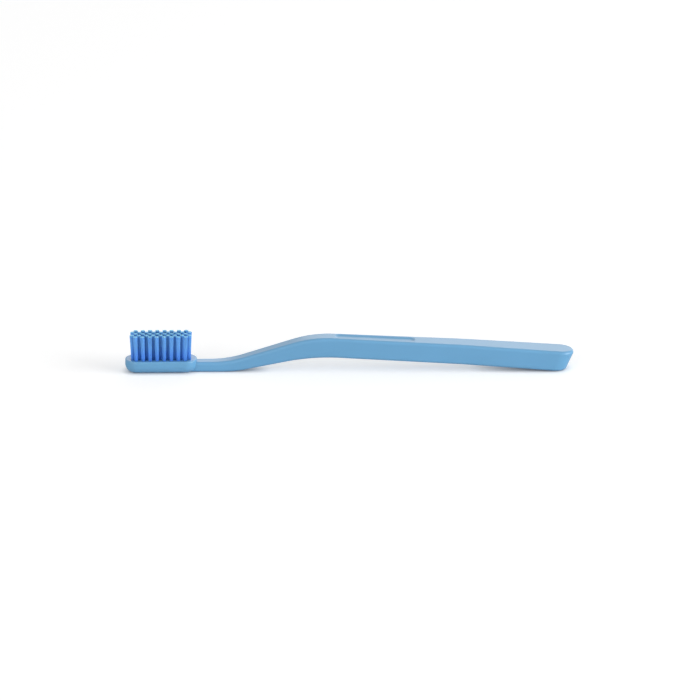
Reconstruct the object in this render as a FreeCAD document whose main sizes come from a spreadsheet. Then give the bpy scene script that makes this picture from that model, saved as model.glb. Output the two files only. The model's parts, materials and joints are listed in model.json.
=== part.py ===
"""Manual toothbrush: a one-piece moulded handle with 42 bristle tufts stapled into its head.

The brush lies on its back with the bristles up, in millimetres. X runs from the head to the tail,
Z is up, and the origin is under the middle of the length, on the surface that the brush lies on.
"""
import FreeCAD, Part
import Sketcher
import math
import os

ROWS = 5
LONG_ROW = 9
SHORT_ROW = 8
TUFT_SIDES = 10
OUTER_STEP = (LONG_ROW - 1) / 2
OUTER_ROW = (ROWS - 1) / 2
NEAR = 0.01
LEAST_CUT = 0.0001
LEVEL = 0.9

SIZES = {
    "overall_length": (188.0, "head tip to tail tip"),
    "tuft_pitch": (2.93, "tuft to tuft along a row"),
    "row_pitch": (2.0, "row to row; neighbouring rows are staggered by half a pitch"),
    "hole_diameter": (1.7, "blind hole that holds a tuft"),
    "hole_depth": (3.5, "depth of a tuft hole"),
    "head_end_margin": (2.43, "outermost hole to the end of the head"),
    "head_side_margin": (1.05, "outermost hole to the side of the head"),
    "head_thickness": (5.5, "back of the head to its bristle face"),
    "head_corner_radius": (5.0, "corners of the head seen from above"),
    "head_back_round": (3.4, "rounding of the head's back edge"),
    "head_rim_round": (0.6, "rounding of the rim round the bristle face"),
    "neck_width": (6.2, "width of the neck at the head"),
    "neck_thickness": (4.3, "thickness of the neck at the head"),
    "neck_length": (15.6, "head to the bend of the neck's underside"),
    "bend_lead": (2.5, "how much sooner the neck's top bends than its underside"),
    "ramp_length": (33.0, "bend of the neck to the crest of the grip"),
    "crest_height": (6.65, "underside of the crest above the surface, before rounding"),
    "grip_thickness": (8.5, "thickness of the grip at its crest"),
    "bow_place": (63.0, "crest of the grip to the middle of its bow"),
    "bow_rise": (0.5, "how far the bow's corner stands above a straight line from crest to tail"),
    "bow_length": (4.0, "length of the arc that rounds the bow's corner"),
    "tail_width": (12.4, "width of the grip at its tail"),
    "tail_height": (8.4, "tip of the tail above the surface, before rounding"),
    "tail_lean": (24.0, "lean of the tail's end face from upright, in degrees"),
    "tail_corner_radius": (5.5, "corners of the tail seen from above"),
    "edge_round": (1.2, "rounding of the long edges of neck and grip"),
    "under_bend_radius": (55.0, "bend of the neck, underside"),
    "top_bend_radius": (45.0, "bend of the neck, top"),
    "under_crest_radius": (90.0, "crest of the grip, underside"),
    "top_crest_radius": (50.0, "crest of the grip, top"),
    "recess_start": (0.35, "end of the crest's rounding to the near end of the thumb recess"),
    "recess_length": (34.0, "length of the thumb recess"),
    "recess_depth": (0.55, "depth of the thumb recess"),
    "recess_land": (0.25, "flat left between the recess and the rounded edges"),
    "recess_wall": (1.3, "level run of the recess's sloping wall"),
    "recess_rim_round": (0.5, "rounding of the recess's rim"),
    "recess_floor_round": (1.2, "rounding between the recess's wall and floor"),
    "bristle_height": (10.75, "bristle face to the trimmed tips"),
    "tip_spread": (0.3, "how far the outermost tufts lean out at their tips"),
    "tip_gap": (0.6, "gap between neighbouring tufts at their tips"),
    "tuft_clearance": (0.05, "gap between a tuft's root and the wall of its hole"),
    "loop_thickness": (0.6, "bristle folded round under the anchor"),
    "anchor_width": (2.1, "anchor blade, across the hole and into its walls"),
    "anchor_height": (1.5, "anchor blade, along the hole"),
    "anchor_thickness": (0.25, "anchor blade, sheet thickness"),
    "anchor_clearance": (0.03, "gap beside an anchor blade in its slots and its tuft"),
}

# Places along the brush and sizes that follow from the driving ones, as expressions of the sheet
HEAD_LENGTH = f"({LONG_ROW - 1} * Sizes.tuft_pitch + Sizes.hole_diameter + 2 * Sizes.head_end_margin)"
HEAD_WIDTH = f"({ROWS - 1} * Sizes.row_pitch + Sizes.hole_diameter + 2 * Sizes.head_side_margin)"
HEAD_TIP = "(-Sizes.overall_length / 2)"
HEAD_END = f"({HEAD_TIP} + {HEAD_LENGTH})"
HEAD_MIDDLE = f"({HEAD_TIP} + {HEAD_LENGTH} / 2)"
NECK_ROOT = f"({HEAD_END} - Sizes.head_corner_radius)"
UNDER_BEND = f"({HEAD_END} + Sizes.neck_length)"
TOP_BEND = f"({UNDER_BEND} - Sizes.bend_lead)"
CREST = f"({UNDER_BEND} + Sizes.ramp_length)"
CREST_TOP = "(Sizes.crest_height + Sizes.grip_thickness)"

# The grip bows up between its crest and its tail
BOW = f"({CREST} + Sizes.bow_place)"
CREST_TO_TAIL = f"(Sizes.overall_length / 2 - {CREST})"
TOP_FALL = f"(({CREST_TOP} - Sizes.tail_height) / {CREST_TO_TAIL} - Sizes.bow_rise / Sizes.bow_place)"
BOW_TOP = f"({CREST_TOP} - {TOP_FALL} * Sizes.bow_place)"
TAIL_FALL = f"(({BOW_TOP} - Sizes.tail_height) / ({CREST_TO_TAIL} - Sizes.bow_place))"

# The end face and the top meet in a sharp corner that is rounded, so that corner stands past the tip
TAIL_HALF_ANGLE = f"((90 deg - Sizes.tail_lean * 1 deg + atan({TAIL_FALL})) / 2)"
TAIL_TIP = (
    "(Sizes.overall_length / 2 + Sizes.edge_round"
    f" * (cos({TAIL_HALF_ANGLE} - atan({TAIL_FALL})) / sin({TAIL_HALF_ANGLE}) - 1))"
)
TAIL_CORNER = f"({BOW_TOP} - {TAIL_FALL} * ({TAIL_TIP} - {BOW}))"
TAIL_FOOT = f"({TAIL_TIP} - {TAIL_CORNER} * tan(Sizes.tail_lean * 1 deg))"
PAST_TAIL = f"({TAIL_TIP} + Sizes.edge_round)"
BOW_UNDER = f"(Sizes.crest_height * ({TAIL_FOOT} - {BOW}) / ({TAIL_FOOT} - {CREST}) + Sizes.bow_rise)"
UNDER_FALL = f"((Sizes.crest_height - {BOW_UNDER}) / Sizes.bow_place)"
UNDER_TAIL_FALL = f"({BOW_UNDER} / ({TAIL_FOOT} - {BOW}))"


def off_bow(height, fall, run):
    """A point beside the bow's corner: across and up, at a run along a line that falls towards the tail."""
    return f"({BOW} + ({run}) * cos(atan({fall})))", f"({height} - ({run}) * sin(atan({fall})))"


def side_at(place):
    """Half the width of neck and grip at a place: the sides run straight from the head to the tail."""
    share = f"(({place} - {HEAD_END}) / ({TAIL_TIP} - {HEAD_END}))"
    return f"((Sizes.neck_width + (Sizes.tail_width - Sizes.neck_width) * {share}) / 2)"


# Thumb recess: on the flat top past the crest's rounding, and within the rounded edges
RAMP_RISE = f"(({CREST_TOP} - Sizes.neck_thickness) / ({CREST} - {TOP_BEND}))"
CREST_HALF_TURN = f"((atan({RAMP_RISE}) + atan({TOP_FALL})) / 2)"
CREST_RUN = f"(Sizes.top_crest_radius * tan({CREST_HALF_TURN}) * cos(atan({TOP_FALL})))"
RECESS_END = f"({CREST} + {CREST_RUN} + Sizes.recess_start)"
RECESS_MIDDLE = f"({RECESS_END} + Sizes.recess_length / 2)"
RECESS_HEIGHT = f"({CREST_TOP} - {TOP_FALL} * ({RECESS_MIDDLE} - {CREST}))"
RECESS_SLOPE = f"atan({TOP_FALL})"
RECESS_SIDE = f"({side_at(RECESS_END)} - Sizes.edge_round - Sizes.recess_land)"
RECESS_OVERCUT = "(Sizes.recess_depth / 10)"

# Tufts: root and anchor in the hole, and the spacing and size of the spread tips
ROOT_DIAMETER = "(Sizes.hole_diameter - 2 * Sizes.tuft_clearance)"
TIP_PITCH = f"(Sizes.tuft_pitch + Sizes.tip_spread / {OUTER_STEP})"
TIP_ROW_PITCH = f"(Sizes.row_pitch + Sizes.tip_spread / {OUTER_ROW})"
TIP_NEAREST = f"min({TIP_PITCH}; sqrt(({TIP_PITCH} / 2)^2 + {TIP_ROW_PITCH}^2))"
TIP_DIAMETER = f"({TIP_NEAREST} - Sizes.tip_gap)"
TIP_GROWTH = f"(({TIP_DIAMETER} - {ROOT_DIAMETER}) / 2 * cos(180 deg / {TUFT_SIDES}))"
FLARE_ANGLE = f"atan({TIP_GROWTH} / Sizes.bristle_height)"
ANCHOR_SIDE = "(Sizes.anchor_thickness / 2)"
ANCHOR_END = "(Sizes.anchor_width / 2)"
SLOT_SIDE = f"({ANCHOR_SIDE} + Sizes.anchor_clearance)"

doc = FreeCAD.newDocument("toothbrush")


def make_sheet():
    """Writes the driving dimensions into the sheet, one row each."""
    sheet = doc.addObject("Spreadsheet::Sheet", "Sizes")
    for row, (name, (size, meaning)) in enumerate(SIZES.items(), start=1):
        sheet.set(f"A{row}", name)
        sheet.set(f"B{row}", str(size))
        sheet.setAlias(f"B{row}", name)
        sheet.set(f"C{row}", meaning)
    doc.recompute()
    return sheet


sheet = make_sheet()


def value(expression):
    """The number that an expression of the sheet gives now."""
    result = sheet.evalExpression(expression)
    return getattr(result, "Value", result)


def origin_part(body, role):
    return next(item for item in body.Origin.OriginFeatures if item.Role == role)


def new_body(label):
    body = doc.addObject("PartDesign::Body", label)
    body.Label = label
    return body


def new_sketch(body, name, role, **offsets):
    """A sketch on one of a body's own planes, moved off it along the plane's axes."""
    sketch = body.newObject("Sketcher::SketchObject", name)
    sketch.AttachmentSupport = [(origin_part(body, role), "")]
    sketch.MapMode = "FlatFace"
    for axis, expression in offsets.items():
        sketch.setExpression(f"AttachmentOffset.Base.{axis}", expression)
    return sketch


def bind(sketch, constraint, expression):
    """Adds a constraint whose size follows an expression of the sheet."""
    number = sketch.addConstraint(constraint)
    sketch.setExpression(f"Constraints[{number}]", expression)


def pin_point(sketch, curve, end, across, up):
    """Holds a curve's end at two distances from the sketch's origin."""
    for kind, axis, expression in (("DistanceX", -2, across), ("DistanceY", -1, up)):
        if expression == "0":
            sketch.addConstraint(Sketcher.Constraint("PointOnObject", curve, end, axis))
        else:
            bind(sketch, Sketcher.Constraint(kind, -1, 1, curve, end, value(expression)), expression)


def draw_outline(sketch, corners, half_rounds=(), bends=()):
    """Draws a closed outline through corners.

    Runs numbered in half_rounds are half circles outwards, and those in bends are arcs that leave the
    run before them without a corner.
    """
    points = [FreeCAD.Vector(value(across), value(up), 0) for across, up in corners]
    runs = []
    for index, start in enumerate(points):
        stop = points[(index + 1) % len(points)]
        chord = stop - start
        outward = FreeCAD.Vector(chord.y, -chord.x, 0)
        if index in half_rounds:
            bulge = 1
        elif index in bends:
            bulge = math.tan((start - points[index - 1]).getAngle(chord) / 2)
            bulge *= math.copysign(1, (start - points[index - 1]).dot(outward))
        else:
            runs.append((sketch.addGeometry(Part.LineSegment(start, stop)), 1, 2))
            continue
        curve = sketch.addGeometry(Part.Arc(start, (start + stop + outward * bulge) / 2, stop))
        if index in half_rounds:
            centre = corners[index][0]
            bind(sketch, Sketcher.Constraint("DistanceX", -1, 1, curve, 3, value(centre)), centre)
        forward = (sketch.getPoint(curve, 1) - start).Length < NEAR
        runs.append((curve, 1, 2) if forward else (curve, 2, 1))
    for index, (curve, start, stop) in enumerate(runs):
        after = (index + 1) % len(runs)
        following, joint, _ = runs[after]
        meeting = "Tangent" if after in bends else "Coincident"
        sketch.addConstraint(Sketcher.Constraint(meeting, curve, stop, following, joint))
        pin_point(sketch, curve, start, *corners[index])


def draw_polygon(sketch, diameter):
    """Draws a regular polygon in a circle about the sketch's origin, with a flat side across the X axis."""
    centre = FreeCAD.Vector(0, 0, 0)
    upright = FreeCAD.Vector(0, 0, 1)
    circle = sketch.addGeometry(Part.Circle(centre, upright, value(diameter) / 2), True)
    sketch.addConstraint(Sketcher.Constraint("Coincident", circle, 3, -1, 1))
    bind(sketch, Sketcher.Constraint("Diameter", circle, value(diameter)), diameter)
    corner = FreeCAD.Vector(value(diameter) / 2, 0, 0)
    turn = 360 / TUFT_SIDES
    points = [FreeCAD.Rotation(upright, turn * (i - 0.5)).multVec(corner) for i in range(TUFT_SIDES)]
    sides = [sketch.addGeometry(Part.LineSegment(points[i - 1], points[i])) for i in range(TUFT_SIDES)]
    for index, side in enumerate(sides):
        following = sides[(index + 1) % TUFT_SIDES]
        sketch.addConstraint(Sketcher.Constraint("Coincident", side, 2, following, 1))
        sketch.addConstraint(Sketcher.Constraint("PointOnObject", side, 2, circle))
        if index:
            sketch.addConstraint(Sketcher.Constraint("Equal", sides[0], side))
    sketch.addConstraint(Sketcher.Constraint("Vertical", sides[1]))


def box_corners(left, right, low, high):
    return [(left, low), (right, low), (right, high), (left, high)]


def pad(body, name, sketch, length, midplane=False, down=False):
    feature = body.newObject("PartDesign::Pad", name)
    feature.Profile = sketch
    feature.Midplane = midplane
    feature.Reversed = down
    feature.setExpression("Length", length)
    doc.recompute()
    return feature


def cut(body, name, sketch, depth=None):
    """Pockets a sketch to a depth below its plane or, with no depth, right through both ways."""
    before = body.Shape.Volume
    pocket = body.newObject("PartDesign::Pocket", name)
    pocket.Profile = sketch
    pocket.Refine = False
    if depth is None:
        pocket.Type = "ThroughAll"
        pocket.Midplane = True
    else:
        pocket.setExpression("Length", depth)
    doc.recompute()
    if body.Shape.Volume > before - LEAST_CUT:
        raise RuntimeError(f"{name} cuts nothing")
    return pocket


def repeat(body, name, originals, count, rows=1):
    """Repeats features along a row of tufts, and in every second row."""
    pattern = body.newObject("PartDesign::LinearPattern", name)
    pattern.Refine = False
    pattern.Originals = originals
    pattern.Direction = (origin_part(body, "X_Axis"), [""])
    pattern.Occurrences = count
    pattern.setExpression("Length", f"{count - 1} * Sizes.tuft_pitch")
    if rows > 1:
        pattern.Direction2 = (origin_part(body, "Y_Axis"), [""])
        pattern.Occurrences2 = rows
        pattern.setExpression("Length2", f"{2 * (rows - 1)} * Sizes.row_pitch")
    body.Tip = pattern
    doc.recompute()


def fillet(body, name, feature, wanted, radius, count=None):
    """Rounds the edges of the last feature that a test picks by their place."""
    edges = enumerate(feature.Shape.Edges, start=1)
    names = [f"Edge{number}" for number, edge in edges if wanted(edge)]
    if not names or (count and len(names) != count):
        raise RuntimeError(f"{name} finds {len(names)} edges")
    rounding = body.newObject("PartDesign::Fillet", name)
    rounding.Base = (feature, names)
    rounding.setExpression("Radius", radius)
    doc.recompute()
    return rounding


def crosses_at(across, up):
    """Tests for the straight edge that runs across the handle at a corner of its side outline."""
    place = (value(across), value(up))

    def wanted(edge):
        return all(abs(p.X - place[0]) < NEAR and abs(p.Z - place[1]) < NEAR for p in edge.Vertexes)
    return wanted


def stands_upright(edge):
    first, last = edge.Vertexes[0].Point, edge.Vertexes[-1].Point
    return abs(first.x - last.x) < NEAR and abs(first.y - last.y) < NEAR and abs(first.z - last.z) > NEAR


def lies_in(sketch):
    """Tests for the edges that lie within the outline of one of the recess's sketches, near its plane."""
    to_sketch = sketch.Placement.inverse()
    box = Part.makeCompound(sketch.Shape.Edges).transformed(to_sketch.toMatrix()).BoundBox
    box.enlarge(NEAR)
    depth = value("Sizes.recess_depth") / 2

    def wanted(edge):
        points = [to_sketch.multVec(corner.Point) for corner in edge.Vertexes]
        return all(abs(p.z) < depth and box.isInside(FreeCAD.Vector(p.x, p.y, 0)) for p in points)
    return wanted


def lies_level(face):
    """Tells whether a face looks up or down rather than sideways."""
    low, high, left, right = face.ParameterRange
    normal = face.normalAt((low + high) / 2, (left + right) / 2)
    return abs(normal.z) > LEVEL


def make_neck_and_grip():
    """The bar from inside the head to the tail: side outline, trimmed from above, then rounded."""
    body = new_body("neck_and_grip")
    side = new_sketch(body, "side_outline", "XZ_Plane")
    draw_outline(side, [
        (NECK_ROOT, "0"),
        (UNDER_BEND, "0"),
        (CREST, "Sizes.crest_height"),
        off_bow(BOW_UNDER, UNDER_FALL, "-Sizes.bow_length / 2"),
        off_bow(BOW_UNDER, UNDER_TAIL_FALL, "Sizes.bow_length / 2"),
        (TAIL_FOOT, "0"),
        (TAIL_TIP, TAIL_CORNER),
        off_bow(BOW_TOP, TAIL_FALL, "Sizes.bow_length / 2"),
        off_bow(BOW_TOP, TOP_FALL, "-Sizes.bow_length / 2"),
        (CREST, CREST_TOP),
        (TOP_BEND, "Sizes.neck_thickness"),
        (NECK_ROOT, "Sizes.neck_thickness"),
    ], bends=(3, 7))
    bar = pad(body, "side_block", side, "2 * Sizes.tail_width", midplane=True)
    for name, across, up, radius in (
        ("under_bend", UNDER_BEND, "0", "Sizes.under_bend_radius"),
        ("under_crest", CREST, "Sizes.crest_height", "Sizes.under_crest_radius"),
        ("top_crest", CREST, CREST_TOP, "Sizes.top_crest_radius"),
        ("top_bend", TOP_BEND, "Sizes.neck_thickness", "Sizes.top_bend_radius"),
    ):
        bar = fillet(body, name, bar, crosses_at(across, up), radius, count=1)

    plan = new_sketch(body, "plan_outline", "XY_Plane")
    draw_outline(plan, [
        (NECK_ROOT, f"-{side_at(NECK_ROOT)}"),
        (PAST_TAIL, f"-{side_at(PAST_TAIL)}"),
        (PAST_TAIL, side_at(PAST_TAIL)),
        (NECK_ROOT, side_at(NECK_ROOT)),
    ])
    waste = "(2 * Sizes.tail_width)"
    draw_outline(plan, box_corners(f"{NECK_ROOT} - {waste}", f"{PAST_TAIL} + {waste}", f"-{waste}", waste))
    bar = cut(body, "plan_trim", plan)

    tail_foot = value(TAIL_FOOT)
    tail_rise = value("Sizes.tail_height") / 2

    def at_tail_corner(edge):
        heights = [p.Z for p in edge.Vertexes]
        past_foot = all(p.X > tail_foot - NEAR for p in edge.Vertexes)
        return past_foot and max(heights) - min(heights) > tail_rise

    bar = fillet(body, "tail_corners", bar, at_tail_corner, "Sizes.tail_corner_radius", count=2)
    shape = bar.Shape
    root = value(NECK_ROOT)

    def on_long_edge(edge):
        if all(abs(p.X - root) < NEAR for p in edge.Vertexes):
            return False
        levels = [lies_level(face) for face in shape.ancestorsOfType(edge, Part.Face)]
        return len(levels) == 2 and levels[0] != levels[1]

    fillet(body, "long_edges", bar, on_long_edge, "Sizes.edge_round")
    return body


def make_handle():
    """The whole moulding: head, neck and grip in one, with the thumb recess and the tuft holes."""
    bar = make_neck_and_grip()
    body = new_body("handle")
    outline = new_sketch(body, "head_outline", "XY_Plane")
    half = f"{HEAD_WIDTH} / 2"
    draw_outline(outline, box_corners(HEAD_TIP, HEAD_END, f"-{half}", half))
    head = pad(body, "head_block", outline, "Sizes.head_thickness")
    head = fillet(body, "head_corners", head, stands_upright, "Sizes.head_corner_radius", count=4)
    thickness = value("Sizes.head_thickness")
    head = fillet(body, "head_back", head, lambda edge: edge.BoundBox.ZMax < NEAR,
                  "Sizes.head_back_round")
    head = fillet(body, "head_rim", head, lambda edge: edge.BoundBox.ZMin > thickness - NEAR,
                  "Sizes.head_rim_round")

    joined = body.newObject("PartDesign::Boolean", "one_moulding")
    joined.Type = "Fuse"
    joined.setObjects([bar])
    doc.recompute()

    add_recess(body)
    add_holes(body)
    return body


def add_recess(body):
    """The thumb recess: a shallow rounded dish, lofted from above the top of the grip to its floor."""
    overcut = f"{RECESS_OVERCUT} * Sizes.recess_wall / Sizes.recess_depth"
    sketches = []
    for name, inset, drop in (
        ("recess_rim", f"-{overcut}", f"-{RECESS_OVERCUT}"),
        ("recess_floor", "Sizes.recess_wall", "Sizes.recess_depth"),
    ):
        half_width = f"({RECESS_SIDE} - ({inset}))"
        straight = f"(Sizes.recess_length / 2 - {RECESS_SIDE})"
        sketch = new_sketch(body, name, "XY_Plane", x=f"{RECESS_MIDDLE} - ({drop}) * sin({RECESS_SLOPE})",
                            z=f"{RECESS_HEIGHT} - ({drop}) * cos({RECESS_SLOPE})")
        sketch.AttachmentOffset = FreeCAD.Placement(
            sketch.AttachmentOffset.Base, FreeCAD.Rotation(FreeCAD.Vector(0, 1, 0), value(RECESS_SLOPE)))
        sketch.setExpression("AttachmentOffset.Rotation.Angle", RECESS_SLOPE)
        draw_outline(sketch, box_corners(f"-{straight}", straight, f"-{half_width}", half_width),
                     half_rounds=(1, 3))
        sketches.append(sketch)
    rim, floor = sketches
    dish = body.newObject("PartDesign::SubtractiveLoft", "recess")
    dish.Profile = rim
    dish.Sections = [floor]
    dish.Ruled = True
    doc.recompute()
    dish = fillet(body, "recess_floor_edge", dish, lies_in(floor), "Sizes.recess_floor_round")
    fillet(body, "recess_rim_edge", dish, lies_in(rim), "Sizes.recess_rim_round")


def add_holes(body):
    """Blind holes for the tufts, each with the two slots that its anchor cuts into the walls."""
    for name, count, first_row, rows in (
        ("long_rows", LONG_ROW, 1 - OUTER_ROW, ROWS // 2),
        ("short_rows", SHORT_ROW, -OUTER_ROW, ROWS // 2 + 1),
    ):
        place = {
            "x": f"{HEAD_MIDDLE} - {(count - 1) / 2} * Sizes.tuft_pitch",
            "y": f"{first_row} * Sizes.row_pitch",
            "z": "Sizes.head_thickness",
        }
        bore = new_sketch(body, f"{name}_bore_outline", "XY_Plane", **place)
        draw_polygon(bore, "Sizes.hole_diameter")
        slots = new_sketch(body, f"{name}_slots_outline", "XY_Plane", **place)
        draw_outline(slots, box_corners(f"-{ANCHOR_END}", ANCHOR_END, f"-{SLOT_SIDE}", SLOT_SIDE))
        bore_cut = cut(body, f"{name}_bore", bore, "Sizes.hole_depth")
        slots_cut = cut(body, f"{name}_slots", slots, "Sizes.hole_depth")
        repeat(body, f"{name}_holes", [bore_cut, slots_cut], count, rows)


def make_tuft(label, step, row):
    """One tuft: a shaft that leans and flares to the tips, and a root folded round its anchor."""
    body = new_body(label)
    base = new_sketch(body, f"{label}_base", "XY_Plane")
    draw_polygon(base, ROOT_DIAMETER)
    shaft = pad(body, f"{label}_shaft", base, "Sizes.bristle_height")
    shaft.UseCustomVector = True
    shaft.AlongSketchNormal = True
    shaft.setExpression("Direction.x", f"{step / OUTER_STEP} * Sizes.tip_spread")
    shaft.setExpression("Direction.y", f"{row / OUTER_ROW} * Sizes.tip_spread")
    shaft.setExpression("Direction.z", "Sizes.bristle_height")
    doc.recompute()

    faces = enumerate(shaft.Shape.Faces, start=1)
    edges = enumerate(shaft.Shape.Edges, start=1)
    flare = body.newObject("PartDesign::Draft", f"{label}_flare")
    flare.Base = (shaft, [f"Face{number}" for number, face in faces if not lies_level(face)])
    flare.NeutralPlane = (origin_part(body, "XY_Plane"), [""])
    leaning = next(f"Edge{number}" for number, edge in edges if edge.BoundBox.ZLength > NEAR)
    flare.PullDirection = (shaft, [leaning])
    flare.Reversed = True
    flare.setExpression("Angle", FLARE_ANGLE)
    doc.recompute()

    pad(body, f"{label}_root", base, "Sizes.hole_depth", down=True)
    slit = new_sketch(body, f"{label}_slit", "YZ_Plane", y="Sizes.loop_thickness - Sizes.hole_depth")
    draw_outline(slit, box_corners(f"-{SLOT_SIDE}", SLOT_SIDE, "0",
                                   "Sizes.anchor_height + Sizes.anchor_clearance"))
    cut(body, f"{label}_anchor_slit", slit)

    body.setExpression("Placement.Base.x", f"{HEAD_MIDDLE} + {step} * Sizes.tuft_pitch")
    body.setExpression("Placement.Base.y", f"{row} * Sizes.row_pitch")
    body.setExpression("Placement.Base.z", "Sizes.head_thickness")
    return body


def make_anchors(label, count, row):
    """One row's anchors: flat metal blades, each across its tuft and into the walls of its hole."""
    body = new_body(label)
    body.AllowCompound = True
    section = new_sketch(body, f"{label}_section", "XY_Plane")
    draw_outline(section, box_corners(f"-{ANCHOR_END}", ANCHOR_END, f"-{ANCHOR_SIDE}", ANCHOR_SIDE))
    blade = pad(body, f"{label}_blade", section, "Sizes.anchor_height")
    repeat(body, f"{label}_set", [blade], count)
    body.setExpression("Placement.Base.x", f"{HEAD_MIDDLE} - {(count - 1) / 2} * Sizes.tuft_pitch")
    body.setExpression("Placement.Base.y", f"{row} * Sizes.row_pitch")
    body.setExpression("Placement.Base.z", "Sizes.head_thickness - Sizes.hole_depth + Sizes.loop_thickness")
    return body


def make_brush():
    """All the sub-parts: the handle, then each row's tufts and anchors from the near row to the far one."""
    subparts = [make_handle()]
    for index in range(ROWS):
        row = index - OUTER_ROW
        count = LONG_ROW if index % 2 else SHORT_ROW
        for number in range(count):
            label = f"row_{index + 1}_tuft_{number + 1}"
            subparts.append(make_tuft(label, number - (count - 1) / 2, row))
        subparts.append(make_anchors(f"row_{index + 1}_anchors", count, row))
    doc.recompute()
    return subparts


def check_and_write(subparts):
    """Stops on any failed object or bad solid, then writes one STEP file for each sub-part."""
    for item in doc.Objects:
        if "Invalid" in item.State or "Error" in item.State:
            raise RuntimeError(f"{item.Name} failed: {item.State}")
    for body in subparts:
        if body.Shape.isNull() or not body.Shape.isValid():
            raise RuntimeError(f"{body.Label} has no valid solid")
    os.makedirs("parts", exist_ok=True)
    for body in subparts:
        body.Shape.exportStep(f"parts/{body.Label}.step")
        print(f"{body.Label}: {len(body.Shape.Solids)} solid(s), {body.Shape.Volume:.2f} mm3")


check_and_write(make_brush())
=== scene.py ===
"""Looks of a manual toothbrush: a satin blue handle, tufts of round-ended filaments and a pale studio."""
import bpy
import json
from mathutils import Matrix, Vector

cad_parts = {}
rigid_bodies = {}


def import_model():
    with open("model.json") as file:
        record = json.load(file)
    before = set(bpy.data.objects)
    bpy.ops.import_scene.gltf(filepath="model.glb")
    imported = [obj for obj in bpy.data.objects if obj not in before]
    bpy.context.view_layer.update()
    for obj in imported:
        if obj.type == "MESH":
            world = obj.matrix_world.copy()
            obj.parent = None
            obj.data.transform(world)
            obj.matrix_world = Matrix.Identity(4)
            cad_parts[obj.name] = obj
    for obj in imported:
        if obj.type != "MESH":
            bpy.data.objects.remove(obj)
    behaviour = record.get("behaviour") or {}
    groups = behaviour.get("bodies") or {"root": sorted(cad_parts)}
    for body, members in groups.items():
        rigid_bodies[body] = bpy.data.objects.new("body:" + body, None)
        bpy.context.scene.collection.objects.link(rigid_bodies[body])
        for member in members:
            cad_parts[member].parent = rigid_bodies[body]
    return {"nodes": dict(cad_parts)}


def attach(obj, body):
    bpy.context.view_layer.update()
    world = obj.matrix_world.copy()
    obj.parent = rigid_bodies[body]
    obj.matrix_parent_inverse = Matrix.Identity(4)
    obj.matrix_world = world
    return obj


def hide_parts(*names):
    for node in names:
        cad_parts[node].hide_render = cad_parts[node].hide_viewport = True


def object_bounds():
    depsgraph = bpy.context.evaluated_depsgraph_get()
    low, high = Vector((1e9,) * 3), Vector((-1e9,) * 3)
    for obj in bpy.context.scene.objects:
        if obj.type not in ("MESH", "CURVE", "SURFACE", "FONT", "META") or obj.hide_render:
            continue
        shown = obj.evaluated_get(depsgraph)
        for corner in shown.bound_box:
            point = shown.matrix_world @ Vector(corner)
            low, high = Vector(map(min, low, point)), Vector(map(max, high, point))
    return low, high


for leftover in list(bpy.data.objects):
    bpy.data.objects.remove(leftover)
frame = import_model()
CAD_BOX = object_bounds()

import json
import math
import random

import bmesh
from bpy.props import FloatProperty, FloatVectorProperty, IntProperty, PointerProperty
from mathutils import Vector

bl_info = {
    "name": "Toothbrush looks",
    "version": (1, 0, 0),
    "blender": (4, 5, 0),
    "location": "3D View > Sidebar > Toothbrush",
    "description": "Dresses the packed toothbrush: handle finish, filament tufts, anchors and studio",
    "category": "Object",
}

BODY = "root"
HANDLE = "handle"
TUFT_MARK = "_tuft_"
ANCHOR_MARK = "_anchors"
MILLIMETRE = 0.001
GOLDEN_ANGLE = math.pi * (3 - math.sqrt(5))
WHITE = (1.0, 1.0, 1.0, 1.0)

# Satin plastic
PLASTIC_IOR = 1.58
DRIFT_SPOTS_PER_METRE = 45.0
SHEEN_CHANGE = 0.05
GRAIN_STRENGTH = 0.35

# Nylon: where along the filament its own colour starts and ends (painted shade below, painted light above),
# and what changes between filaments
NYLON_IOR = 1.53
NYLON_COLOUR_STOPS = (0.6, 0.97)
NYLON_BRIGHTNESS = (0.92, 1.08)
NYLON_ROUGHNESS = (0.28, 0.42)

# Rolled brass: lines per metre along, across and through the blade
BRASS_LINES = (300.0, 4000.0, 9000.0)
BRASS_DARKER = -0.15
BRASS_LIGHTER = 0.1
BRASS_ROUGHNESS = (0.2, 0.4)


class HandleSettings(bpy.types.PropertyGroup):
    """Finish of the moulded handle."""
    colour: FloatVectorProperty(
        name="Plastic", description="Colour of the moulded plastic",
        subtype="COLOR", size=3, min=0, max=1, default=(0.13, 0.353, 0.587))
    colour_drift: FloatProperty(
        name="Colour drift", description="How much the colour changes along the moulding",
        subtype="FACTOR", min=0, max=1, default=0.06)
    roughness: FloatProperty(
        name="Roughness", description="Roughness of the satin surface",
        subtype="FACTOR", min=0, max=1, default=0.32)
    grain_size: FloatProperty(
        name="Grain size", description="Size of the mould's fine texture",
        unit="LENGTH", default=0.22 * MILLIMETRE)
    grain_depth: FloatProperty(
        name="Grain depth", description="Depth of the mould's fine texture",
        unit="LENGTH", default=0.004 * MILLIMETRE)


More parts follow.
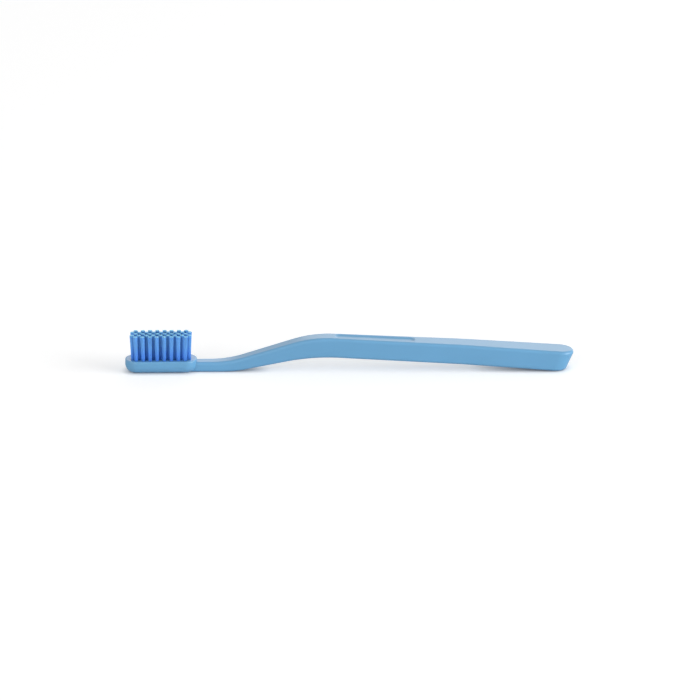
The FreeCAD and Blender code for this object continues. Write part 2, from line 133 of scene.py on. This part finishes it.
class BristleSettings(bpy.types.PropertyGroup):
    """Form and colour of the filaments."""
    thickness: FloatProperty(
        name="Filament thickness", description="Diameter of one nylon filament",
        unit="LENGTH", default=0.2 * MILLIMETRE)
    per_tuft: IntProperty(
        name="Filaments in a tuft", description="Filament ends that stand out of one hole",
        min=1, default=72)
    unevenness: FloatProperty(
        name="Unevenness", description="How far single tips stand above or below the trim",
        unit="LENGTH", default=0.06 * MILLIMETRE)
    stray: FloatProperty(
        name="Stray", description="How far single tips stand off their place in the tuft",
        unit="LENGTH", default=0.07 * MILLIMETRE)
    sway: FloatProperty(
        name="Sway", description="How far a whole tuft leans off its place at the tips",
        unit="LENGTH", default=0.12 * MILLIMETRE)
    cover: FloatProperty(
        name="Cover", description="Depth of the filaments below the bristle face, above the anchor",
        unit="LENGTH", default=1.3 * MILLIMETRE)
    colour: FloatVectorProperty(
        name="Nylon", description="Colour of the filaments",
        subtype="COLOR", size=3, min=0, max=1, default=(0.18, 0.5, 1.0))
    # Painted shade: the filaments are drawn deeper towards the root, where the tuft shades them
    root_painted_shade: FloatVectorProperty(
        name="Nylon at the root", description="Deeper colour of the filaments where they leave the head",
        subtype="COLOR", size=3, min=0, max=1, default=(0.1, 0.33, 1.0))
    # Painted light: the rounded ends are drawn paler where light falls on the tips
    tip_painted_light: FloatVectorProperty(
        name="Nylon at the tip", description="Paler colour of the rounded ends",
        subtype="COLOR", size=3, min=0, max=1, default=(0.36, 0.8, 1.0))
    seed: IntProperty(name="Seed", description="Start of the random numbers", default=7)


class AnchorSettings(bpy.types.PropertyGroup):
    """Finish of the metal blades that hold the tufts."""
    colour: FloatVectorProperty(
        name="Brass", description="Colour of the anchor blades",
        subtype="COLOR", size=3, min=0, max=1, default=(0.72, 0.52, 0.22))


class StageSettings(bpy.types.PropertyGroup):
    """Camera, floor and light."""
    field_width: FloatProperty(
        name="Field width", description="Width of the view at the brush",
        unit="LENGTH", default=0.2936)
    target: FloatVectorProperty(
        name="Target", description="Point at the middle of the view",
        subtype="TRANSLATION", unit="LENGTH", size=3, default=(0.00025, 0.0, 0.00842))
    elevation: FloatProperty(
        name="Elevation", description="Height of the camera above the level",
        subtype="ANGLE", default=math.radians(18))
    swing: FloatProperty(
        name="Swing", description="Turn of the camera towards the head",
        subtype="ANGLE", default=math.radians(1.16))
    lens: FloatProperty(name="Lens", description="Focal length in millimetres", default=250)
    floor_colour: FloatVectorProperty(
        name="Floor", description="Colour of the pale floor",
        subtype="COLOR", size=3, min=0, max=1, default=(0.8, 0.8, 0.8))
    floor_lift: FloatProperty(
        name="Floor lift", description="White that the camera sees added to the floor",
        subtype="FACTOR", min=0, max=1, default=0.4)
    # Painted contact shadow: the floor lift fades by ambient occlusion within this reach of the brush
    painted_shadow_reach: FloatProperty(
        name="Contact reach", description="Distance from the brush within which the floor lift fades",
        unit="LENGTH", default=3 * MILLIMETRE)
    surround: FloatProperty(
        name="Surround", description="Strength of the soft light from all sides", default=0.45)
    key_power: FloatProperty(
        name="Key lamp", description="Power of the large soft lamp at the right", unit="POWER", default=74)
    fill_power: FloatProperty(
        name="Fill lamp", description="Power of the large soft lamp at the left", unit="POWER", default=30.5)
    back_power: FloatProperty(
        name="Back lamp", description="Power of the large soft lamp behind", unit="POWER", default=10.5)


def settings_of(context):
    return context.scene.toothbrush


def link_new_object(name, mesh):
    piece = bpy.data.objects.new(name, mesh)
    bpy.context.scene.collection.objects.link(piece)
    return piece


def the_only(tree, kind):
    """The one node of a kind that a new tree comes with."""
    return next(node for node in tree.nodes if node.type == kind)


def new_material(name):
    """A material whose nodes are only an output and a Principled shader."""
    material = bpy.data.materials.new(name)
    material.use_nodes = True
    return material, material.node_tree, the_only(material.node_tree, "BSDF_PRINCIPLED")


def add_node(tree, kind, **values):
    """Adds a node and sets its sockets by name; a name that ends in _ sets a property instead."""
    node = tree.nodes.new(kind)
    for name, amount in values.items():
        if name.endswith("_"):
            setattr(node, name[:-1], amount)
        else:
            node.inputs[name.replace("_", " ")].default_value = amount
    return node


def connect(tree, *links):
    """Links sockets: each link is a node, its output, the next node and that one's input."""
    for source, output, sink, entry in links:
        tree.links.new(source.outputs[output], sink.inputs[entry])


def span(tree, low, high):
    """A node that turns the range from 0 to 1 into another."""
    return add_node(tree, "ShaderNodeMapRange", To_Min=low, To_Max=high)


def opaque(colour):
    return (*colour, 1.0)


def shaded(colour, share):
    """A colour, opaque, taken darker or lighter by a share of itself."""
    return opaque(min(1.0, channel * (1 + share)) for channel in colour)


def blend(tree, first, second):
    """A node that goes from one colour to another with its factor."""
    node = add_node(tree, "ShaderNodeMix", data_type_="RGBA")
    node.inputs["A"].default_value = first
    node.inputs["B"].default_value = second
    return node


def satin_plastic(settings):
    """Moulded satin plastic: a slow drift of the colour and the fine grain of a blasted mould."""
    material, tree, shader = new_material("satin_plastic")
    coordinates = add_node(tree, "ShaderNodeTexCoord")

    drift = add_node(tree, "ShaderNodeTexNoise", Scale=DRIFT_SPOTS_PER_METRE, Detail=3.0)
    tint = blend(tree, shaded(settings.colour, -settings.colour_drift),
                 shaded(settings.colour, settings.colour_drift))
    connect(tree,
            (coordinates, "Object", drift, "Vector"),
            (drift, "Fac", tint, "Factor"),
            (tint, "Result", shader, "Base Color"))

    grain = add_node(tree, "ShaderNodeTexNoise", Scale=1 / settings.grain_size, Detail=2.0, Roughness=0.6)
    sheen = span(tree, settings.roughness - SHEEN_CHANGE, settings.roughness + SHEEN_CHANGE)
    relief = add_node(tree, "ShaderNodeBump", Strength=GRAIN_STRENGTH, Distance=settings.grain_depth)
    connect(tree,
            (coordinates, "Object", grain, "Vector"),
            (grain, "Fac", sheen, "Value"),
            (sheen, "Result", shader, "Roughness"),
            (grain, "Fac", relief, "Height"),
            (relief, "Normal", shader, "Normal"))
    shader.inputs["IOR"].default_value = PLASTIC_IOR
    return material


def nylon(settings):
    """Dyed nylon: painted shade deepens it towards the root, painted light pales it at the tip, each
    filament a little lighter or darker.
    """
    material, tree, shader = new_material("dyed_nylon")
    rise = add_node(tree, "ShaderNodeAttribute", attribute_name_="rise")
    shade = add_node(tree, "ShaderNodeAttribute", attribute_name_="shade")
    along = add_node(tree, "ShaderNodeValToRGB")
    stops = along.color_ramp.elements
    # The ramp runs from painted shade at the root, through the nylon's own colour, to painted light at the
    # tip
    stops[0].color = opaque(settings.root_painted_shade)
    stops[1].color = opaque(settings.tip_painted_light)
    for place in NYLON_COLOUR_STOPS:
        stops.new(place).color = opaque(settings.colour)
    vary = add_node(tree, "ShaderNodeHueSaturation")
    brightness = span(tree, *NYLON_BRIGHTNESS)
    polish = span(tree, *NYLON_ROUGHNESS)
    connect(tree,
            (rise, "Fac", along, "Fac"),
            (along, "Color", vary, "Color"),
            (shade, "Fac", brightness, "Value"),
            (brightness, "Result", vary, "Value"),
            (vary, "Color", shader, "Base Color"),
            (shade, "Fac", polish, "Value"),
            (polish, "Result", shader, "Roughness"))
    shader.inputs["IOR"].default_value = NYLON_IOR
    return material


def rolled_brass(settings):
    """Rolled sheet brass with fine lines along the blade."""
    material, tree, shader = new_material("rolled_brass")
    coordinates = add_node(tree, "ShaderNodeTexCoord")
    stretch = add_node(tree, "ShaderNodeMapping", Scale=BRASS_LINES)
    lines = add_node(tree, "ShaderNodeTexNoise", Scale=1.0, Detail=4.0)
    tint = blend(tree, shaded(settings.colour, BRASS_DARKER), shaded(settings.colour, BRASS_LIGHTER))
    polish = span(tree, *BRASS_ROUGHNESS)
    connect(tree,
            (coordinates, "Object", stretch, "Vector"),
            (stretch, "Vector", lines, "Vector"),
            (lines, "Fac", tint, "Factor"),
            (tint, "Result", shader, "Base Color"),
            (lines, "Fac", polish, "Value"),
            (polish, "Result", shader, "Roughness"))
    shader.inputs["Metallic"].default_value = 1.0
    return material


def dress(node, material):
    """Gives a CAD node a material without touching its mesh."""
    slots = frame["nodes"][node].material_slots
    if not slots:
        raise RuntimeError(f"{node} has no material slot")
    for slot in slots:
        slot.link = "OBJECT"
        slot.material = material


class TOOTHBRUSH_OT_finish_handle(bpy.types.Operator):
    """Gives the moulded handle its satin plastic"""
    bl_idname = "toothbrush.finish_handle"
    bl_label = "Finish handle"

    def execute(self, context):
        dress(HANDLE, satin_plastic(settings_of(context).handle))
        return {"FINISHED"}


class TOOTHBRUSH_OT_finish_anchors(bpy.types.Operator):
    """Gives the anchor blades their brass"""
    bl_idname = "toothbrush.finish_anchors"
    bl_label = "Finish anchors"

    def execute(self, context):
        brass = rolled_brass(settings_of(context).anchors)
        for node in sorted(frame["nodes"]):
            if node.endswith(ANCHOR_MARK):
                dress(node, brass)
        return {"FINISHED"}


class TuftReach:
    """Where a tuft's CAD solid leaves the head and ends: middles and radii at the hole and at the tips."""

    TOLERANCE = 0.1 * MILLIMETRE

    def __init__(self, node, face_height):
        points = [vertex.co for vertex in frame["nodes"][node].data.vertices]
        top = max(point.z for point in points)
        self.base, self.base_radius = self.ring(points, face_height)
        self.tip, self.tip_radius = self.ring(points, top)

    def ring(self, solid, level):
        """The middle of the solid's points at a level, and the distance of the farthest one from it."""
        points = [point for point in solid if abs(point.z - level) < self.TOLERANCE]
        low = Vector(min(point[axis] for point in points) for axis in range(3))
        high = Vector(max(point[axis] for point in points) for axis in range(3))
        middle = (low + high) / 2
        return middle, max((point - middle).length for point in points)


class TOOTHBRUSH_OT_plant_tufts(bpy.types.Operator):
    """Plants a bundle of round-ended filaments in the place of each tuft's CAD solid"""
    bl_idname = "toothbrush.plant_tufts"
    bl_label = "Plant tufts"

    # Rings of a filament: shares of the shaft's length, then width and rise in the rounded end
    SIDES = 6
    SHAFT_STEPS = (0.3, 0.6, 0.8, 1.0)
    END_STEPS = ((0.8, 0.55), (0.4, 0.9))
    FLARE_POWER = 1.25
    LEVEL_DIGITS = 6

    def execute(self, context):
        settings = settings_of(context).bristles
        material = nylon(settings)
        chance = random.Random(settings.seed)
        face_height = self.face_height()
        for node in sorted(frame["nodes"]):
            if TUFT_MARK in node:
                self.plant(node, settings, material, chance, face_height)
        return {"FINISHED"}

    def face_height(self):
        """Height of the bristle face: the level below the tips, where the tufts' solids start to flare."""
        node = next(name for name in sorted(frame["nodes"]) if TUFT_MARK in name)
        points = frame["nodes"][node].data.vertices
        return sorted({round(point.co.z, self.LEVEL_DIGITS) for point in points})[-2]

    def filament(self, length, settings):
        """One straight filament from a circle that is extruded step by step and drawn in at its end."""
        form = bmesh.new()
        bmesh.ops.create_circle(form, cap_ends=True, segments=self.SIDES, radius=settings.thickness / 2)
        face = next(iter(form.faces))
        height = 0.0
        width = 1.0
        end = settings.thickness / 2
        steps = [(1.0, share * (length - end)) for share in self.SHAFT_STEPS]
        steps += [(share, length - end + rise * end) for share, rise in self.END_STEPS]
        for share, level in steps:
            made = bmesh.ops.extrude_face_region(form, geom=[face])["geom"]
            face = next(item for item in made if isinstance(item, bmesh.types.BMFace))
            bmesh.ops.translate(form, verts=face.verts, vec=(0, 0, level - height))
            scale = share / width
            bmesh.ops.scale(form, verts=face.verts, vec=(scale, scale, 1))
            height = level
            width = share
        bmesh.ops.recalc_face_normals(form, faces=form.faces)
        mesh = bpy.data.meshes.new("filament_form")
        form.to_mesh(mesh)
        form.free()
        return mesh

    @staticmethod
    def off_place(chance, distance):
        """A level step in any direction, up to a distance both ways."""
        return Vector((chance.uniform(-1, 1), chance.uniform(-1, 1), 0)) * distance

    def plant(self, node, settings, material, chance, face_height):
        """Spreads the filaments of one tuft on a spiral and puts them in the place of its solid."""
        reach = TuftReach(node, face_height)
        start = reach.base - Vector((0, 0, settings.cover))
        length = reach.tip.z - settings.unevenness - start.z
        form = self.filament(length, settings)
        bundle = bmesh.new()
        rise = bundle.verts.layers.float.new("rise")
        shade = bundle.verts.layers.float.new("shade")
        phase = chance.uniform(0, math.tau)
        lean = reach.tip - reach.base + self.off_place(chance, settings.sway)
        base_reach = reach.base_radius - settings.thickness / 2
        tip_reach = reach.tip_radius - settings.thickness / 2 - settings.stray
        for number in range(settings.per_tuft):
            spread = math.sqrt((number + 0.5) / settings.per_tuft)
            turn = phase + number * GOLDEN_ANGLE
            outward = Vector((math.cos(turn), math.sin(turn), 0)) * spread
            foot = outward * base_reach
            head = outward * tip_reach + lean + self.off_place(chance, settings.stray)
            head.z = 0
            stretch = 1 + chance.uniform(-1, 1) * settings.unevenness / length
            tone = chance.random()
            first = len(bundle.verts)
            bundle.from_mesh(form)
            bundle.verts.ensure_lookup_table()
            for vertex in bundle.verts[first:]:
                above = max(0.0, (vertex.co.z - settings.cover) / (length - settings.cover))
                vertex[rise] = above
                vertex[shade] = tone
                vertex.co.z *= stretch
                vertex.co += start + foot.lerp(head, above ** self.FLARE_POWER)
        mesh = bpy.data.meshes.new(f"{node}_filaments")
        bundle.to_mesh(mesh)
        bundle.free()
        bpy.data.meshes.remove(form)
        mesh.shade_smooth()
        mesh.materials.append(material)
        piece = link_new_object(f"{node}_filaments", mesh)
        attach(piece, BODY)
        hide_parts(node)


class TOOTHBRUSH_OT_set_stage(bpy.types.Operator):
    """Sets the pale floor, the soft light and the camera"""
    bl_idname = "toothbrush.set_stage"
    bl_label = "Set stage"

    FLOOR_SIZE = 6.0
    FLOOR_DROP = 0.02 * MILLIMETRE
    FLOOR_ROUGHNESS = 0.9
    FLOOR_SHINE = 0.1
    KEY_PLACE = (2.4, -0.9, 0.6)
    FILL_PLACE = (-1.6, -2.0, 0.55)
    BACK_PLACE = (0.6, 2.55, 1.0)
    LAMP_SIZE = 2.0

    def execute(self, context):
        settings = settings_of(context).stage
        self.lay_floor(settings)
        self.surround(context.scene, settings)
        self.hang_lamps(context.scene, settings)
        self.aim_camera(context.scene, settings)
        context.scene.view_settings.view_transform = "Standard"
        return {"FINISHED"}

    def lay_floor(self, settings):
        """A level sheet just below the brush."""
        form = bmesh.new()
        bmesh.ops.create_grid(form, x_segments=1, y_segments=1, size=self.FLOOR_SIZE / 2)
        bmesh.ops.translate(form, verts=form.verts, vec=(0, 0, CAD_BOX[0][2] - self.FLOOR_DROP))
        mesh = bpy.data.meshes.new("floor")
        form.to_mesh(mesh)
        form.free()
        floor = link_new_object("floor", mesh)
        mesh.materials.append(self.pale_floor(settings))

    def pale_floor(self, settings):
        """Matt white that the camera sees lifted to full white, except where the brush is close above it:
        there the lift fades, a painted contact shadow.
        """
        material, tree, shader = new_material("pale_floor")
        shader.inputs["Base Color"].default_value = opaque(settings.floor_colour)
        shader.inputs["Roughness"].default_value = self.FLOOR_ROUGHNESS
        shader.inputs["Specular IOR Level"].default_value = self.FLOOR_SHINE
        path = add_node(tree, "ShaderNodeLightPath")
        lift = add_node(tree, "ShaderNodeEmission")
        # Ambient occlusion fades the lift near the brush: a painted contact shadow
        painted_contact_shade = add_node(tree, "ShaderNodeAmbientOcclusion", Distance=settings.painted_shadow_reach)
        fade = add_node(tree, "ShaderNodeMath", operation_="MULTIPLY")
        fade.inputs[1].default_value = settings.floor_lift
        none = add_node(tree, "ShaderNodeEmission", Strength=0.0)
        seen = add_node(tree, "ShaderNodeMixShader")
        total = add_node(tree, "ShaderNodeAddShader")
        connect(tree,
                (painted_contact_shade, "AO", fade, 0),
                (fade, 0, lift, "Strength"),
                (path, "Is Camera Ray", seen, 0),
                (none, 0, seen, 1),
                (lift, 0, seen, 2),
                (shader, 0, total, 0),
                (seen, 0, total, 1),
                (total, 0, the_only(tree, "OUTPUT_MATERIAL"), "Surface"))
        return material

    def surround(self, scene, settings):
        """Soft light from all sides, which the camera and shiny or clear surfaces see as white."""
        world = bpy.data.worlds.new("white_surround")
        world.use_nodes = True
        scene.world = world
        tree = world.node_tree
        soft = the_only(tree, "BACKGROUND")
        soft.inputs["Color"].default_value = WHITE
        soft.inputs["Strength"].default_value = settings.surround
        bright = add_node(tree, "ShaderNodeBackground", Color=WHITE, Strength=1.0)
        path = add_node(tree, "ShaderNodeLightPath")
        camera_or_glossy = add_node(tree, "ShaderNodeMath", operation_="MAXIMUM")
        seen = add_node(tree, "ShaderNodeMath", operation_="MAXIMUM")
        choice = add_node(tree, "ShaderNodeMixShader")
        connect(tree,
                (path, "Is Camera Ray", camera_or_glossy, 0),
                (path, "Is Glossy Ray", camera_or_glossy, 1),
                (camera_or_glossy, 0, seen, 0),
                (path, "Is Transmission Ray", seen, 1),
                (seen, 0, choice, 0),
                (soft, 0, choice, 1),
                (bright, 0, choice, 2),
                (choice, 0, the_only(tree, "OUTPUT_WORLD"), "Surface"))

    def hang_lamps(self, scene, settings):
        """Large soft lamps that all face the brush."""
        for name, place, power in (
            ("key_lamp", self.KEY_PLACE, settings.key_power),
            ("fill_lamp", self.FILL_PLACE, settings.fill_power),
            ("back_lamp", self.BACK_PLACE, settings.back_power),
        ):
            light = bpy.data.lights.new(name, "AREA")
            light.energy = power
            light.size = self.LAMP_SIZE
            lamp = bpy.data.objects.new(name, light)
            lamp.location = place
            lamp.rotation_euler = (-Vector(place)).to_track_quat("-Z", "Y").to_euler()
            scene.collection.objects.link(lamp)

    def aim_camera(self, scene, settings):
        """A long lens, so far off that the field is as wide at the target as asked."""
        data = bpy.data.cameras.new("camera")
        data.lens = settings.lens
        distance = settings.field_width * settings.lens / data.sensor_width
        data.clip_end = 2 * distance + self.FLOOR_SIZE
        level = math.cos(settings.elevation)
        towards = Vector((math.sin(settings.swing) * level, math.cos(settings.swing) * level,
                          -math.sin(settings.elevation)))
        camera = bpy.data.objects.new("camera", data)
        camera.location = Vector(settings.target) - towards * distance
        camera.rotation_euler = towards.to_track_quat("-Z", "Y").to_euler()
        scene.collection.objects.link(camera)
        scene.camera = camera


class ToothbrushSettings(bpy.types.PropertyGroup):
    """All that a user would change."""
    handle: PointerProperty(type=HandleSettings, name="Handle", description="Finish of the handle")
    bristles: PointerProperty(type=BristleSettings, name="Bristles", description="Form of the filaments")
    anchors: PointerProperty(type=AnchorSettings, name="Anchors", description="Finish of the anchors")
    stage: PointerProperty(type=StageSettings, name="Stage", description="Camera, floor and light")


OPERATORS = (
    TOOTHBRUSH_OT_finish_handle,
    TOOTHBRUSH_OT_finish_anchors,
    TOOTHBRUSH_OT_plant_tufts,
    TOOTHBRUSH_OT_set_stage,
)


class VIEW3D_PT_toothbrush(bpy.types.Panel):
    """Lists the settings and the steps"""
    bl_label = "Toothbrush"
    bl_space_type = "VIEW_3D"
    bl_region_type = "UI"
    bl_category = "Toothbrush"

    def draw(self, context):
        settings = settings_of(context)
        for group in (settings.handle, settings.bristles, settings.anchors, settings.stage):
            box = self.layout.box()
            for name in group.__annotations__:
                box.prop(group, name)
        for operator in OPERATORS:
            self.layout.operator(operator.bl_idname)


CLASSES = (
    HandleSettings,
    BristleSettings,
    AnchorSettings,
    StageSettings,
    ToothbrushSettings,
    *OPERATORS,
    VIEW3D_PT_toothbrush,
)


def register():
    for item in CLASSES:
        bpy.utils.register_class(item)
    bpy.types.Scene.toothbrush = PointerProperty(type=ToothbrushSettings)


def unregister():
    del bpy.types.Scene.toothbrush
    for item in reversed(CLASSES):
        bpy.utils.unregister_class(item)


def main():
    register()
    bpy.ops.toothbrush.finish_handle()
    bpy.ops.toothbrush.finish_anchors()
    bpy.ops.toothbrush.plant_tufts()
    bpy.ops.toothbrush.set_stage()


if __name__ == "__main__":
    main()
